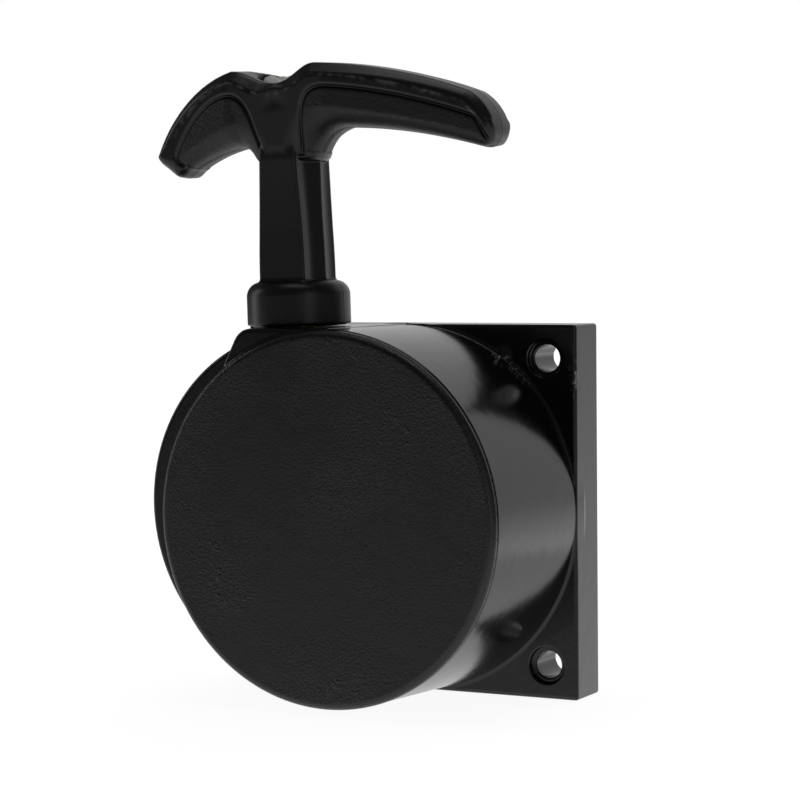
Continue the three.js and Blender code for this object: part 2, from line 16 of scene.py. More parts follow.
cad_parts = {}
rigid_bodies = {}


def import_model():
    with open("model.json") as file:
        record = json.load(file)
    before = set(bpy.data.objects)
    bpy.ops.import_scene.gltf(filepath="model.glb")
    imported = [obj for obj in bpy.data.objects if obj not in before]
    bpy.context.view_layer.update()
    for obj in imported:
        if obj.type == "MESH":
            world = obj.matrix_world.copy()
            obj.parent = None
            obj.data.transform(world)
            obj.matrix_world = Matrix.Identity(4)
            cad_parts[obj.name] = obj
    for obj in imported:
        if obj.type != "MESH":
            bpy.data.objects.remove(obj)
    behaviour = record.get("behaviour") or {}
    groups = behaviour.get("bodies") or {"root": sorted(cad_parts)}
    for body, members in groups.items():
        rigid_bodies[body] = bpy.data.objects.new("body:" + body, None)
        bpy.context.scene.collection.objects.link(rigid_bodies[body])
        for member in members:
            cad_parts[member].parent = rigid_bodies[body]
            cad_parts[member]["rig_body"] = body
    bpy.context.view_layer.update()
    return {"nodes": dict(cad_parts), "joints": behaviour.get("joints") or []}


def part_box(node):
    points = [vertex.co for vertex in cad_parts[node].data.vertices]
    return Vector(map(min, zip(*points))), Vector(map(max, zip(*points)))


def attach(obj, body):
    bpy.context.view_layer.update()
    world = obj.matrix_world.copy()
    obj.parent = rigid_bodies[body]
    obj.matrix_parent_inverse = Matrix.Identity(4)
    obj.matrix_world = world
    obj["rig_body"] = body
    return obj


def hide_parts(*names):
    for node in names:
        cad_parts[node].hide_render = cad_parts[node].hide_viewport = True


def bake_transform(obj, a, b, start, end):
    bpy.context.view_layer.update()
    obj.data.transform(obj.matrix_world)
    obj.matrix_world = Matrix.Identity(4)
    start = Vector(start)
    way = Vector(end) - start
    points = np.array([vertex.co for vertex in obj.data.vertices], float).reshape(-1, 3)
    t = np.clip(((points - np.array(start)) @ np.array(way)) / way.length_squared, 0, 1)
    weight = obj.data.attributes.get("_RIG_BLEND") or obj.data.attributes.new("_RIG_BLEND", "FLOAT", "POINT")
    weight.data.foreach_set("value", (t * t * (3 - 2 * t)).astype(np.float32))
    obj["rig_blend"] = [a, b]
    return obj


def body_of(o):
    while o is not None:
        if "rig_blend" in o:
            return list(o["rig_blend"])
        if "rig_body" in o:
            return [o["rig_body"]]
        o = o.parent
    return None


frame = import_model()

MM = 0.001


def box_mm(node):
    """A CAD node's lowest and highest corners at rest, in millimetres."""
    low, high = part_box(node)
    return low / MM, high / MM


# ---- Places and sizes from the frame --------------------------------------------------------------

housing_low, housing_high = box_mm("housing")
FLANGE_HALF = housing_high.x                 # the square flange reaches furthest on the right
CAP_FACE = housing_low.y
FLANGE_THICK = 11.0
FLANGE_FRONT = -FLANGE_THICK
DRUM_DEPTH = FLANGE_FRONT - CAP_FACE

pulley_low, _ = box_mm("rope_pulley")
winding_low, winding_high = box_mm("rope_winding")
GROOVE_MID = (winding_low.y + winding_high.y) / 2
bush_low, bush_high = box_mm("rope_guide_bush")
BUSH_LIP = 1.0                               # the bush stands this far out of the boss
HANDLE_X = (bush_low.x + bush_high.x) / 2
BOSS_TOP = bush_high.z - BUSH_LIP

pull = next(joint for joint in frame["joints"] if joint["name"] == "handle_pull")
PULL_AXIS = Vector(pull["axis"]).normalized()
HANDLE_FRAME = (
    Matrix.Translation(Vector((HANDLE_X, GROOVE_MID, BOSS_TOP)) * MM)
    @ Matrix.Rotation(math.atan2(PULL_AXIS.x, PULL_AXIS.z), 4, "Y")
)

# Housing
FLANGE_EDGE = 0.6
HOLE_AT = 30.75
HOLE_R = 2.75
SPOT_R = 3.7
SPOT_DEPTH = 1.2
DRUM_BASE_R = 37.4
DRUM_CAP_R = 36.9
DRUM_RISE = 0.6                              # the cap's centre lies this far above the axis
DRUM_DRIFT = -0.7                            # and this far to the left
CAP_EDGE = 1.5
PARTING = 1.7                                # the mould's parting line runs this far behind the cap's face
SLIP_X, SLIP_Z = -0.1, -0.2                  # how far the mould's cap half had slipped
LOBE_R, LOBE_X, LOBE_Z = 34.75, -7.4, 2.4
LOBE_SETBACK = 4.0
BOSS_SETBACK = 1.8
BOSS_LEFT = -20.0
BOSS_SLOPE = 27.0
RELIEF_R = 5.0                               # the pocket in the lobe for a screw's head
RELIEF_LENGTH = 22.0
CAP_WALL = 2.6
CAVITY_R = 33.2
SPRING_CHAMBER_R = 32.0
POST_R = 5.5
POST_TAP_R = 3.15
POST_END = -11.1
BUSH_SEAT_R = 3.6
BLOB_X, BLOB_Z = 21.8, 31.2                  # a drop of metal at the drum's foot

# Handle, in its own frame: origin on the rope axis at the boss's top, Z up the stem
COLLAR_R = 10.4
COLLAR_BOTTOM, COLLAR_TOP = 0.35, 9.1
COLLAR_EDGE = 3.0
COLLAR_RECESS_R = 5.4                        # the hollow under the collar, over the bush
FOOT_R = 9.3                                 # the lip under the collar
TIP_LEFT, TIP_RIGHT = -29.5, 46.1
GRIP_THICK = 8.7                             # half thickness at the stem
TIP_THICK = 5.0                              # half thickness at the tips
STEM_THICK = 6.7
BAR_BOTTOM = 32.8                            # where the bar gives way to the stem
BEVEL = 2.3                                  # of the grip's top edges
DIP_Z = 48.5
WELL_R = 5.2
WELL_STRETCH = 1.4
WELL_FLOOR = 42.0
BORE_R = 2.1
GRID_LOW, GRID_HIGH = (-34.0, -2.0), (50.0, 56.0)

# Rope
ROPE_R = 1.75
STRANDS = 8
WINDING_LOW_R = 17.0                         # the floor of the pulley's groove
ROPE_LEAVES = 19.3                           # degrees from the pull, where the rope leaves its turns
ROPE_FREE = 22.0                             # above this height in the handle the rope only slides
KNOT_PLACE = (-1.9, 0, 46.7)

# Stage
CAMERA_PLACE = Vector((240.24, -473.06, 51.99))
CAMERA_AZIMUTH = 27.642                      # degrees to the right of straight on
CAMERA_PITCH = 3.302                         # degrees downwards
CAMERA_ROLL = -0.567
CAMERA_LENS = 114.71
ROOM_ABOVE, ROOM_BELOW = 0.07, 0.85          # how bright the room is at and above the horizon, and far below
FLOOR_HALF = 4.0                             # metres
FLOOR_GAP = 0.2                              # under the flange

COARSE = 1.0          # coarser cells while trying things


# ---- Distance fields ------------------------------------------------------------------------------

def smooth_min(a, b, soft):
    """Union of two fields, with the inner corner filled over a width of `soft`."""
    h = np.maximum(soft - np.abs(a - b), 0) / soft
    return np.minimum(a, b) - h * h * soft / 4


def smooth_max(a, b, soft):
    """Intersection of two fields, with the outer corner rounded over a width of `soft`."""
    return -smooth_min(-a, -b, soft)


def ease(low, high, value):
    """0 below low, 1 above high, and smooth between them."""
    t = np.clip((value - low) / (high - low), 0, 1)
    return t * t * (3 - 2 * t)


def prism(flat, along, low, high, edge):
    """An outline's field carried along an axis from low to high, with its edges rounded."""
    ends = np.abs(along - (low + high) / 2) - (high - low) / 2
    a = flat + edge
    b = ends + edge
    return np.minimum(np.maximum(a, b), 0) + np.hypot(np.maximum(a, 0), np.maximum(b, 0)) - edge


def square(x, z, half, corner):
    """A square outline with rounded corners."""
    a = np.abs(x) - half + corner
    b = np.abs(z) - half + corner
    return np.minimum(np.maximum(a, b), 0) + np.hypot(np.maximum(a, 0), np.maximum(b, 0)) - corner


def half_plane(x, z, point, angle):
    """Negative inside a line through the point, whose outward normal has that angle in degrees."""
    a = math.radians(angle)
    return (x - point[0]) * math.cos(a) + (z - point[1]) * math.sin(a)


def sample_field(field, low, high, cell):
    """The field on a grid of points, worked out slice by slice to save memory."""
    axes = [np.arange(a - 1.5 * cell, b + 2.5 * cell, cell) for a, b in zip(low, high)]
    y, z = np.meshgrid(axes[1], axes[2], indexing="ij")
    values = np.stack([field(np.full_like(y, x), y, z).astype(np.float32) for x in axes[0]])
    return axes, values


def cell_vertices(axes, values, cell):
    """One vertex in each grid cell that the surface crosses, at the mean of its edge crossings."""
    corners = [(i, j, k) for i in (0, 1) for j in (0, 1) for k in (0, 1)]
    shape = [n - 1 for n in values.shape]
    count = np.zeros(shape, np.int8)
    for i, j, k in corners:
        count += values[i:i + shape[0], j:j + shape[1], k:k + shape[2]] < 0
    active = np.argwhere((count > 0) & (count < 8))
    at = {c: values[tuple((active + c).T)].astype(float) for c in corners}
    total = np.zeros((len(active), 3))
    hits = np.zeros(len(active))
    for c in corners:
        for axis in range(3):
            if c[axis]:
                continue
            d = tuple(v + (n == axis) for n, v in enumerate(c))
            crosses = (at[c] < 0) != (at[d] < 0)
            share = np.where(crosses, at[c] / np.where(crosses, at[c] - at[d], 1), 0)
            point = np.array(c, float) + share[:, None] * (np.arange(3) == axis)
            total += point * crosses[:, None]
            hits += crosses
    origin = np.array([a[0] for a in axes])
    points = origin + (active + total / hits[:, None]) * cell
    index = np.full(shape, -1, np.int32)
    index[tuple(active.T)] = np.arange(len(active))
    return points, index


def cell_faces(values, index):
    """A quad round each grid edge that the surface crosses, facing outwards."""
    inside = values < 0
    quads = []
    for axis in range(3):
        u, v = (axis + 1) % 3, (axis + 2) % 3
        first = np.take(inside, range(0, inside.shape[axis] - 1), axis)
        second = np.take(inside, range(1, inside.shape[axis]), axis)
        edges = np.argwhere(first != second)
        keep = (edges[:, u] > 0) & (edges[:, v] > 0)
        edges = edges[keep]
        leaving = first[tuple(edges.T)]
        ring = []
        for du, dv in ((0, 0), (-1, 0), (-1, -1), (0, -1)):
            cell = edges.copy()
            cell[:, u] += du
            cell[:, v] += dv
            ring.append(index[tuple(cell.T)])
        quad = np.stack(ring, 1)
        quad[~leaving] = quad[~leaving][:, ::-1]
        quads.append(quad)
    return np.concatenate(quads)


def gradient(field, points, step=0.05):
    """The field's slope at each point."""
    slopes = []
    for axis in range(3):
        ahead = points.copy()
        behind = points.copy()
        ahead[:, axis] += step
        behind[:, axis] -= step
        slopes.append((field(*ahead.T) - field(*behind.T)) / (2 * step))
    return np.stack(slopes, 1)


def settle(field, points, rounds=3):
    """Moves points onto the field's zero surface."""
    for _ in range(rounds):
        slope = gradient(field, points)
        size = np.maximum((slope ** 2).sum(1), 0.05)
        move = slope * (field(*points.T) / size)[:, None]
        points = points - np.clip(move, -0.5, 0.5)
    return points


def refine(piece, zone):
    """Splits the faces whose middle lies in the zone, so that small features there come out sharp."""
    shape = bmesh.new()
    shape.from_mesh(piece.data)
    bmesh.ops.triangulate(shape, faces=shape.faces)
    middles = np.array([face.calc_center_median() for face in shape.faces]) / MM
    chosen = zone(*middles.T)
    edges = {edge for face, wanted in zip(shape.faces, chosen) if wanted for edge in face.edges}
    bmesh.ops.subdivide_edges(shape, edges=list(edges), cuts=1, use_grid_fill=True)
    bmesh.ops.triangulate(shape, faces=shape.faces)
    shape.to_mesh(piece.data)
    shape.free()


def place_on_field(piece, field, rounds):
    """Moves a mesh's vertices onto the field's zero surface."""
    points = settle(field, vertex_array(piece.data) / MM, rounds)
    piece.data.vertices.foreach_set("co", (points * MM).astype(np.float32).ravel())
    piece.data.update()
    return points


def field_object(name, field, low, high, cell, keep, fine_zone):
    """A smooth mesh of a field's zero surface, finer in one zone, and thinned to a share of its faces."""
    axes, values = sample_field(field, low, high, cell)
    points, index = cell_vertices(axes, values, cell)
    piece = mesh_object(name, settle(field, points) * MM, cell_faces(values, index))
    refine(piece, fine_zone)
    place_on_field(piece, field, 3)
    thin = piece.modifiers.new("thin", "DECIMATE")
    thin.ratio = keep
    apply_modifiers(piece)
    points = place_on_field(piece, field, 2)
    slope = gradient(field, points, 0.03)
    normals = slope / np.linalg.norm(slope, axis=1)[:, None]
    piece.data.polygons.foreach_set("use_smooth", [True] * len(piece.data.polygons))
    piece.data.normals_split_custom_set_from_vertices(normals.tolist())
    return piece


# ---- Mesh helpers ---------------------------------------------------------------------------------

def mesh_object(name, points, faces, smooth=True):
    """A new object from arrays of points (metres) and faces."""
    mesh = bpy.data.meshes.new(name)
    mesh.from_pydata(np.asarray(points).tolist(), [], [list(map(int, f)) for f in faces])
    mesh.polygons.foreach_set("use_smooth", [smooth] * len(mesh.polygons))
    mesh.update()
    piece = bpy.data.objects.new(name, mesh)
    bpy.context.scene.collection.objects.link(piece)
    return piece


def vertex_array(mesh):
    """A mesh's vertices as rows of X, Y and Z."""
    points = np.zeros(len(mesh.vertices) * 3, np.float32)
    mesh.vertices.foreach_get("co", points)
    return points.reshape(-1, 3).astype(float)


def add_values(piece, name, values):
    """Stores a number on each vertex."""
    layer = piece.data.attributes.new(name, "FLOAT", "POINT")
    layer.data.foreach_set("value", values.astype(np.float32))


def finish(piece, body, slot, material, *nodes):
    """Puts a piece on its body, in place of its CAD nodes, with its material."""
    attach(piece, body)
    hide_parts(*nodes)
    piece.data.materials.append(material)


def apply_modifiers(piece):
    """Replaces a piece's mesh with what its modifiers make of it."""
    depsgraph = bpy.context.evaluated_depsgraph_get()
    made = bpy.data.meshes.new_from_object(piece.evaluated_get(depsgraph))
    piece.modifiers.clear()
    old = piece.data
    piece.data = made
    bpy.data.meshes.remove(old)


# ---- Housing --------------------------------------------------------------------------------------

def barrel_field(x, y, z):
    """The main drum behind the parting line, climbing slightly towards the cap."""
    share = (FLANGE_FRONT - y) / DRUM_DEPTH
    radius = DRUM_BASE_R + (DRUM_CAP_R - DRUM_BASE_R) * share
    flat = np.hypot(x - DRUM_DRIFT * share, z - DRUM_RISE * share) - radius
    return prism(flat, y, CAP_FACE + PARTING, FLANGE_FRONT + 4, 0.35)


def cap_field(x, y, z):
    """The drum's face, cast in the other half of the mould, with its rounded rim and a sharp back edge."""
    flat = np.hypot(x - DRUM_DRIFT - SLIP_X, z - DRUM_RISE - SLIP_Z) - DRUM_CAP_R
    return np.maximum(prism(flat, y, CAP_FACE, CAP_FACE + 8, CAP_EDGE), y - CAP_FACE - PARTING)


def lobe_field(x, y, z):
    """The bulge on the rope's side, with a pocket for the head of the screw there."""
    flat = np.hypot(x - LOBE_X, z - LOBE_Z) - LOBE_R
    lobe = prism(flat, y, CAP_FACE + LOBE_SETBACK, FLANGE_FRONT + 1, 0.9)
    pocket = prism(np.hypot(x + HOLE_AT, z - HOLE_AT) - RELIEF_R, y, FLANGE_FRONT - RELIEF_LENGTH, 0, 1.5)
    return smooth_max(lobe, -pocket, 0.8)


def boss_field(x, y, z):
    """The rope boss: flat on top, sloping on its left side."""
    side = half_plane(x, z, (BOSS_LEFT, BOSS_TOP), 180 - BOSS_SLOPE)
    flat = smooth_max(z - BOSS_TOP, side, 2.4)
    flat = np.maximum(np.maximum(flat, x), 20 - z)
    return prism(flat, y, CAP_FACE + BOSS_SETBACK, FLANGE_FRONT + 4, 0.7)


def cavity_field(x, y, z):
    """The bore for the pulley and spring, with the centre post left standing."""
    r = np.hypot(x, z)
    chamber = prism(r - SPRING_CHAMBER_R, y, CAP_FACE + CAP_WALL, 5, 0.8)
    bore = prism(r - CAVITY_R, y, pulley_low.y + 8, 5, 0.4)
    post = prism(r - POST_R, y, CAP_FACE, POST_END, 0.3)
    return smooth_max(np.minimum(chamber, bore), -post, 0.8)


def casting_marks(x, y, z):
    """Thin flash round the foot of the drum, with a blob and a rough bead where the metal had run in."""
    r = np.hypot(x, z)
    angle = np.degrees(np.arctan2(z, x))
    beside = np.hypot(r - DRUM_BASE_R - 0.35, y - FLANGE_FRONT)
    line = (0.06 + 0.12 * ease(20, 45, angle)) * np.exp(-(beside / 0.26) ** 2)
    rough = ease(40, 46, angle) * (1 - ease(56, 60, angle))
    lumps = 0.5 + 0.3 * np.sin(angle * 2.3) + 0.2 * np.sin(angle * 5.1 + 2 * r)
    bead = rough * 0.45 * lumps * np.exp(-(beside / 0.5) ** 2)
    blob_at = np.sqrt((x - BLOB_X) ** 2 + (z - BLOB_Z) ** 2 + (y - FLANGE_FRONT) ** 2)
    return line + bead + 1.2 * np.exp(-(blob_at / 1.0) ** 2)


def housing_field(x, y, z):
    """The whole casting, bored and drilled."""
    drum = np.minimum(barrel_field(x, y, z), cap_field(x, y, z))
    body = smooth_min(smooth_min(drum, lobe_field(x, y, z), 0.6), boss_field(x, y, z), 0.6)
    flange = prism(square(x, z, FLANGE_HALF, FLANGE_EDGE), y, FLANGE_FRONT, 0, FLANGE_EDGE)
    body = smooth_min(body, flange, 0.5) - casting_marks(x, y, z)
    body = smooth_max(body, -cavity_field(x, y, z), 0.5)
    from_hole = np.hypot(np.abs(x) - HOLE_AT, np.abs(z) - HOLE_AT)
    spot = prism(from_hole - SPOT_R, y, FLANGE_FRONT - 9, FLANGE_FRONT + SPOT_DEPTH, 0.3)
    near = from_hole < SPOT_R + 2
    drilled = smooth_max(smooth_max(body, -spot, 0.35), HOLE_R - from_hole, 0.35)
    body = np.where(near & (y > FLANGE_FRONT - 2), drilled, body)
    seat = BUSH_SEAT_R - np.hypot(x - HANDLE_X, y - GROOVE_MID)
    body = np.where(z > 20, smooth_max(body, seat, 0.4), body)
    tap = -prism(np.hypot(x, z) - POST_TAP_R, y, POST_END - 12, POST_END + 5, 0.2)
    return smooth_max(body, tap, 0.3)


def housing_detail(x, y, z):
    """Where the casting needs a finer mesh: the foot of the drum, the parting line, and round the holes."""
    r = np.hypot(x, z)
    foot = (np.abs(r - DRUM_BASE_R) < 1.6) & (np.abs(y - FLANGE_FRONT) < 1.3)
    parting = (np.abs(r - DRUM_CAP_R) < 2.2) & (np.abs(y - CAP_FACE - PARTING) < 0.9)
    from_hole = np.hypot(np.abs(x) - HOLE_AT, np.abs(z) - HOLE_AT)
    holes = (np.abs(from_hole - 3.4) < 1.2) & (np.abs(y - FLANGE_FRONT) < 1.8)
    return foot | parting | holes


def make_housing():
    low = (housing_low.x, CAP_FACE, housing_low.z)
    high = (housing_high.x, 0.0, housing_high.z + 0.2)
    piece = field_object("housing_casting", housing_field, low, high, 0.42 * COARSE, 0.28, housing_detail)
    x, y, z = (vertex_array(piece.data) / MM).T
    from_edge = np.hypot(x - FLANGE_HALF, y - FLANGE_FRONT)
    add_values(piece, "chipped", np.exp(-(from_edge / 0.45) ** 2) * ease(23, 25, z) * (1 - ease(29, 31, z)))
    finish(piece, "housing", "housing_paint", black_paint(), "housing")


# ---- Handle ---------------------------------------------------------------------------------------
def bezier(a, b, c, d, steps=14):
    """Points of a cubic curve, without its last one."""
    t = np.arange(steps)[:, None] / steps
    a, b, c, d = (np.array(p, float) for p in (a, b, c, d))
    return (1 - t) ** 3 * a + 3 * (1 - t) ** 2 * t * b + 3 * (1 - t) * t ** 2 * c + t ** 3 * d


def outline_of(start, *curves):
    """A closed outline from a start point and curves, each given as (control, control, end)."""
    points = []
    at = start
    for first, second, end in curves:
        points.append(bezier(at, first, second, end))
        at = end
    return np.concatenate(points)


class Outline:
    """Signed distance to a closed outline in X and Z, kept on a fine grid and read between its points."""

    def __init__(self, points, low, high, cell=0.12):
        self.low = np.array(low, float)
        self.cell = cell
        xs = np.arange(low[0], high[0] + cell, cell)
        zs = np.arange(low[1], high[1] + cell, cell)
        x, z = np.meshgrid(xs, zs, indexing="ij")
        best = np.full(x.shape, 1e9)
        inside = np.zeros(x.shape, bool)
        for (ax, az), (bx, bz) in zip(points, np.roll(points, -1, 0)):
            dx, dz = bx - ax, bz - az
            size = dx * dx + dz * dz
            if size < 1e-12:
                continue
            t = np.clip(((x - ax) * dx + (z - az) * dz) / size, 0, 1)
            best = np.minimum(best, (x - ax - t * dx) ** 2 + (z - az - t * dz) ** 2)
            spans = (az > z) != (bz > z)
            if dz:
                inside ^= spans & (x < ax + (z - az) * dx / dz)
        self.values = np.where(inside, -1, 1) * np.sqrt(best)

    def __call__(self, x, z):
        u = np.clip((x - self.low[0]) / self.cell, 0, self.values.shape[0] - 1.001)
        v = np.clip((z - self.low[1]) / self.cell, 0, self.values.shape[1] - 1.001)
        i, j = u.astype(int), v.astype(int)
        u, v = u - i, v - j
        v00, v10 = self.values[i, j], self.values[i + 1, j]
        v01, v11 = self.values[i, j + 1], self.values[i + 1, j + 1]
        return (v00 * (1 - u) + v10 * u) * (1 - v) + (v01 * (1 - u) + v11 * u) * v


def make_outlines():
    """The grip, its long panel and its short panel, seen from the front."""
    grip = outline_of(
        (6.1, 30),
        ((6.3, 34.5), (8.4, 38.8), (13.5, 39.2)),
        ((23, 38.7), (33, 36.8), (42.8, 33.9)),
        ((45.2, 33.4), (46.2, 35), (TIP_RIGHT, 37.6)),
        ((45.6, 40.2), (43.9, 42.8), (41, 44.6)),
        ((33, 47.9), (20, 51.2), (8.4, 52)),
        ((5.2, 52.2), (3.6, DIP_Z), (-0.7, DIP_Z)),
        ((-4.6, DIP_Z), (-7.2, 51.4), (-11, 51.4)),
        ((-20.5, 49.3), (-26.6, 42), (TIP_LEFT, 36.2)),
        ((-29.9, 35), (-29.3, 34), (-28.2, 33.1)),
        ((-27, 32.2), (-26.2, 31.5), (-25.4, 31)),
        ((-24.4, 30.6), (-24, 31.2), (-23, 32)),
        ((-20.5, 33.6), (-17, 35), (-13.8, 35.7)),
        ((-9.5, 36.8), (-6.9, 36), (-6.1, 30)),
        ((-2, 30), (2, 30), (6.1, 30)),
    )
    long_panel = outline_of(
        (5.0, 34.2),
        ((5.4, 37.5), (5.6, 40), (6.2, 42.8)),
        ((6.9, 46), (8.4, 47.1), (11.5, 47)),
        ((22, 46), (33, 43.1), (42.3, 39.6)),
        ((43.6, 38.6), (44.4, 35.6), (46.5, 31)),
        ((30, 30), (18, 31), (9, 33.6)),
        ((8, 33.8), (6.5, 34), (5, 34.2)),
    )
    short_panel = outline_of(
        (-3.4, 34.8),
        ((-5.2, 39.2), (-5.8, 45.6), (-10.5, 46.2)),
        ((-16.5, 46.6), (-22, 39.6), (-24, 35.6)),
        ((-24.8, 34), (-23.4, 33.2), (-20, 30)),
        ((-15, 29), (-7, 30), (-3.4, 34.8)),
    )
    return [Outline(points, GRID_LOW, GRID_HIGH) for points in (grip, long_panel, short_panel)]


grip_outline, long_panel, short_panel = make_outlines()


def grip_half(x, z):
    """Half thickness of the grip: full at the stem, thinner at the tips, and slimmer down the stem."""
    tip = np.where(x > 0, TIP_RIGHT, -TIP_LEFT)
    reach = np.clip((np.abs(x) - 4) / (tip - 4), 0, 1)
    bar = GRIP_THICK - (GRIP_THICK - TIP_THICK) * reach
    up_stem = np.clip((z - 18) / 32, 0, 1) ** 1.6
    head = np.maximum(up_stem, ease(6, 12, np.abs(x)))
    return STEM_THICK + (bar - STEM_THICK) * head


def upper_share(x, z):
    """1 above the bar's middle line and 0 below it."""
    middle = 46 + np.where(x > 0, -0.2, 0.42) * x
    return ease(-2.5, 2.5, z - middle)


def bar_parts(x, y, z):
    """Distances to the bar's outline, with its draft, and to its front and back faces."""
    back_rise = 1.2 * ease(-5, 7, y) * np.exp(-((x + 2.5) / 5.5) ** 2)
    side = np.abs(y)
    flat = grip_outline(x, z - back_rise) + 0.05 * (side - 4)
    return flat, side - grip_half(x, z)


def tip_share(x):
    """0 at the stem and 1 at the tips."""
    return np.clip((np.abs(x) - 6) / (np.where(x > 0, TIP_RIGHT, -TIP_LEFT) - 9), 0, 1)


def bar_field(x, y, z):
    """The bar: bevelled along its top edges and well rounded underneath."""
    flat, front = bar_parts(x, y, z)
    top = upper_share(x, z)
    tip = tip_share(x)
    body = smooth_max(flat, front, 1.2 + (1 - top) * (5 - 3.2 * tip))
    bevel = (flat + front + BEVEL * (1 - 0.45 * tip)) / math.sqrt(2) - 6 * (1 - top)
    body = smooth_max(body, bevel, 0.5)
    return smooth_max(body, BAR_BOTTOM - z - 8 * ease(7, 13, np.abs(x)), 1.2)


def panel_edge(x, z):
    """Distance outwards from the edge of the nearer grip panel."""
    return np.minimum(long_panel(x, z), short_panel(x, z))


def panel_relief(x, y, z):
    """How far the surface lies below the frame: a groove round each panel, and its slightly sunk face."""
    edge = panel_edge(x, z)
    flat, front = bar_parts(x, y, z)
    groove = 0.6 * np.exp(-(edge / 0.42) ** 2) * ease(-1.5, 0.5, front - flat)
    face = 0.12 * ease(0.2, 0.9, -edge)
    return (groove + face) * ease(0.6, 1.4, np.abs(y))


def stem_field(x, y, z):
    """The stem: flat ribs in front and at the back, and hollowed sides that lean out to the parting line."""
    rib = 5.35 - 1.5 * ease(10, 44, z)
    web = 6.45 - 0.5 * ease(8, 28, z)
    share = np.clip(np.abs(y) / STEM_THICK, 0, 1)
    hollow = 0.85 * np.sin(np.pi * share)
    side = (np.abs(x) - rib - (web - rib) * (1 - share) + hollow) * 0.93
    front = np.abs(y) - grip_half(0, z) + 0.6 * ease(33, 38, z)
    body = smooth_max(side, front, 0.9)
    return smooth_max(body, np.abs(z - 22) - 18, 1.0)


def collar_field(x, y, z):
    """The round skirt over the boss, with a short lip under it."""
    r = np.hypot(x, y)
    skirt = prism(r - COLLAR_R, z, COLLAR_BOTTOM, COLLAR_TOP + 4, 0.35)
    dome = np.hypot(np.maximum(r - COLLAR_R + COLLAR_EDGE, 0), np.maximum(z - COLLAR_TOP + COLLAR_EDGE, 0))
    lip = prism(r - FOOT_R, z, 0.08, 3, 0.1)
    return np.minimum(np.maximum(skirt, dome - COLLAR_EDGE), lip)


def handle_field(x, y, z):
    """The whole moulding, with the knot's well, the rope's bore and the hollow under the collar."""
    bar = bar_field(x, y, z) + panel_relief(x, y, z)
    body = smooth_min(bar, stem_field(x, y, z), 0.25)
    body = smooth_min(body, collar_field(x, y, z), 0.7)
    r = np.hypot(x, y)
    well = prism((np.hypot(x / WELL_STRETCH, y) - WELL_R) * 0.85, z, WELL_FLOOR, 60, 0.5)
    body = smooth_max(body, -well, 0.8)
    recess = prism(r - COLLAR_RECESS_R, z, -5, 2, 0.2)
    return smooth_max(smooth_max(body, -recess, 0.3), BORE_R - r, 0.3)


def handle_detail(x, y, z):
    """Where the handle needs a finer mesh: along the panels' grooves and the top edges."""
    flat, front = bar_parts(x, y, z)
    groove = (np.abs(panel_edge(x, z)) < 0.9) & (z > 31)
    ridge = (np.abs(flat + BEVEL) < 0.5) & (front > -0.8) & (z > 36)
    return groove | ridge


def mark_handle(piece):
    """Stores where the grained panels and the flash along the top edges are, for the material."""
    x, y, z = (vertex_array(piece.data) / MM).T
    flat, front = bar_parts(x, y, z)
    grained = ease(0.1, 0.5, -panel_edge(x, z)) * ease(31, 33, z)
    flash = np.exp(-((flat + BEVEL) / 0.22) ** 2) * (front > -0.6) * upper_share(x, z)
    add_values(piece, "grained", grained)
    add_values(piece, "flash", flash)


def make_handle():
    low = (TIP_LEFT - 0.5, -COLLAR_R - 0.5, 0)
    high = (TIP_RIGHT + 0.8, COLLAR_R + 0.5, 52.5)
    piece = field_object("handle_moulding", handle_field, low, high, 0.28 * COARSE, 0.35, handle_detail)
    mark_handle(piece)
    piece.matrix_world = HANDLE_FRAME
    finish(piece, "handle", "handle_plastic", black_plastic(), "handle")


# ---- Rope -----------------------------------------------------------------------------------------

def braided_tube(name, path, radius=ROPE_R, sides=24, per_mm=2.4):
    """A braided rope along a path of points (mm): two families of strands that cross over each other."""
    steps = np.linalg.norm(np.diff(path, axis=0), axis=1)
    length = np.concatenate([[0], np.cumsum(steps)])
    count = max(int(length[-1] * per_mm), 8)
    at = np.linspace(0, length[-1], count + 1)
    centre = np.stack([np.interp(at, length, path[:, i]) for i in range(3)], 1)
    along = np.gradient(centre, axis=0)
    along /= np.linalg.norm(along, axis=1)[:, None]
    across = np.zeros_like(along)
    side = np.cross(along[0], (0.3, 0.9, 0.2))
    for i, direction in enumerate(along):
        side = side - direction * (side @ direction)
        side = side / np.linalg.norm(side)
        across[i] = side
    other = np.cross(along, across)
    angle = np.linspace(0, 2 * np.pi, sides, endpoint=False)
    turned = np.cos(angle)[None, :, None], np.sin(angle)[None, :, None]
    lay = at[:, None] / radius * 0.9
    left = np.abs(np.sin(STRANDS / 4 * angle + lay))
    right = np.abs(np.sin(STRANDS / 4 * angle - lay))
    size = radius * (0.86 + 0.14 * np.maximum(left, right))
    ring = across[:, None] * turned[0] + other[:, None] * turned[1]
    points = centre[:, None] + ring * size[:, :, None]
    rows, cols = np.meshgrid(np.arange(count), np.arange(sides), indexing="ij")
    here, beyond = rows * sides, (rows + 1) * sides
    beside = (cols + 1) % sides
    quads = np.stack([here + cols, here + beside, beyond + beside, beyond + cols], -1)
    faces = quads.reshape(-1, 4).tolist()
    faces.append(list(range(sides))[::-1])
    faces.append(list(range(count * sides, (count + 1) * sides)))
    return mesh_object(name, points.reshape(-1, 3) * MM, faces)


def winding_path():
    """Three layers of two turns each, the layers running to and fro across the groove."""
    points = []
    for layer in range(3):
        start_r = WINDING_LOW_R + ROPE_R * (2 * layer + 1)
        for i in range(96):
            share = i / 96
            turn = 4 * math.pi * share
            radius = start_r + 2 * ROPE_R * ease(0.93, 1.0, share) * (layer < 2)
            offset = (share - 0.5) * 2 * ROPE_R * (-1) ** layer
            points.append((radius * math.cos(turn), GROOVE_MID + offset, radius * math.sin(turn)))
    return np.array(points)


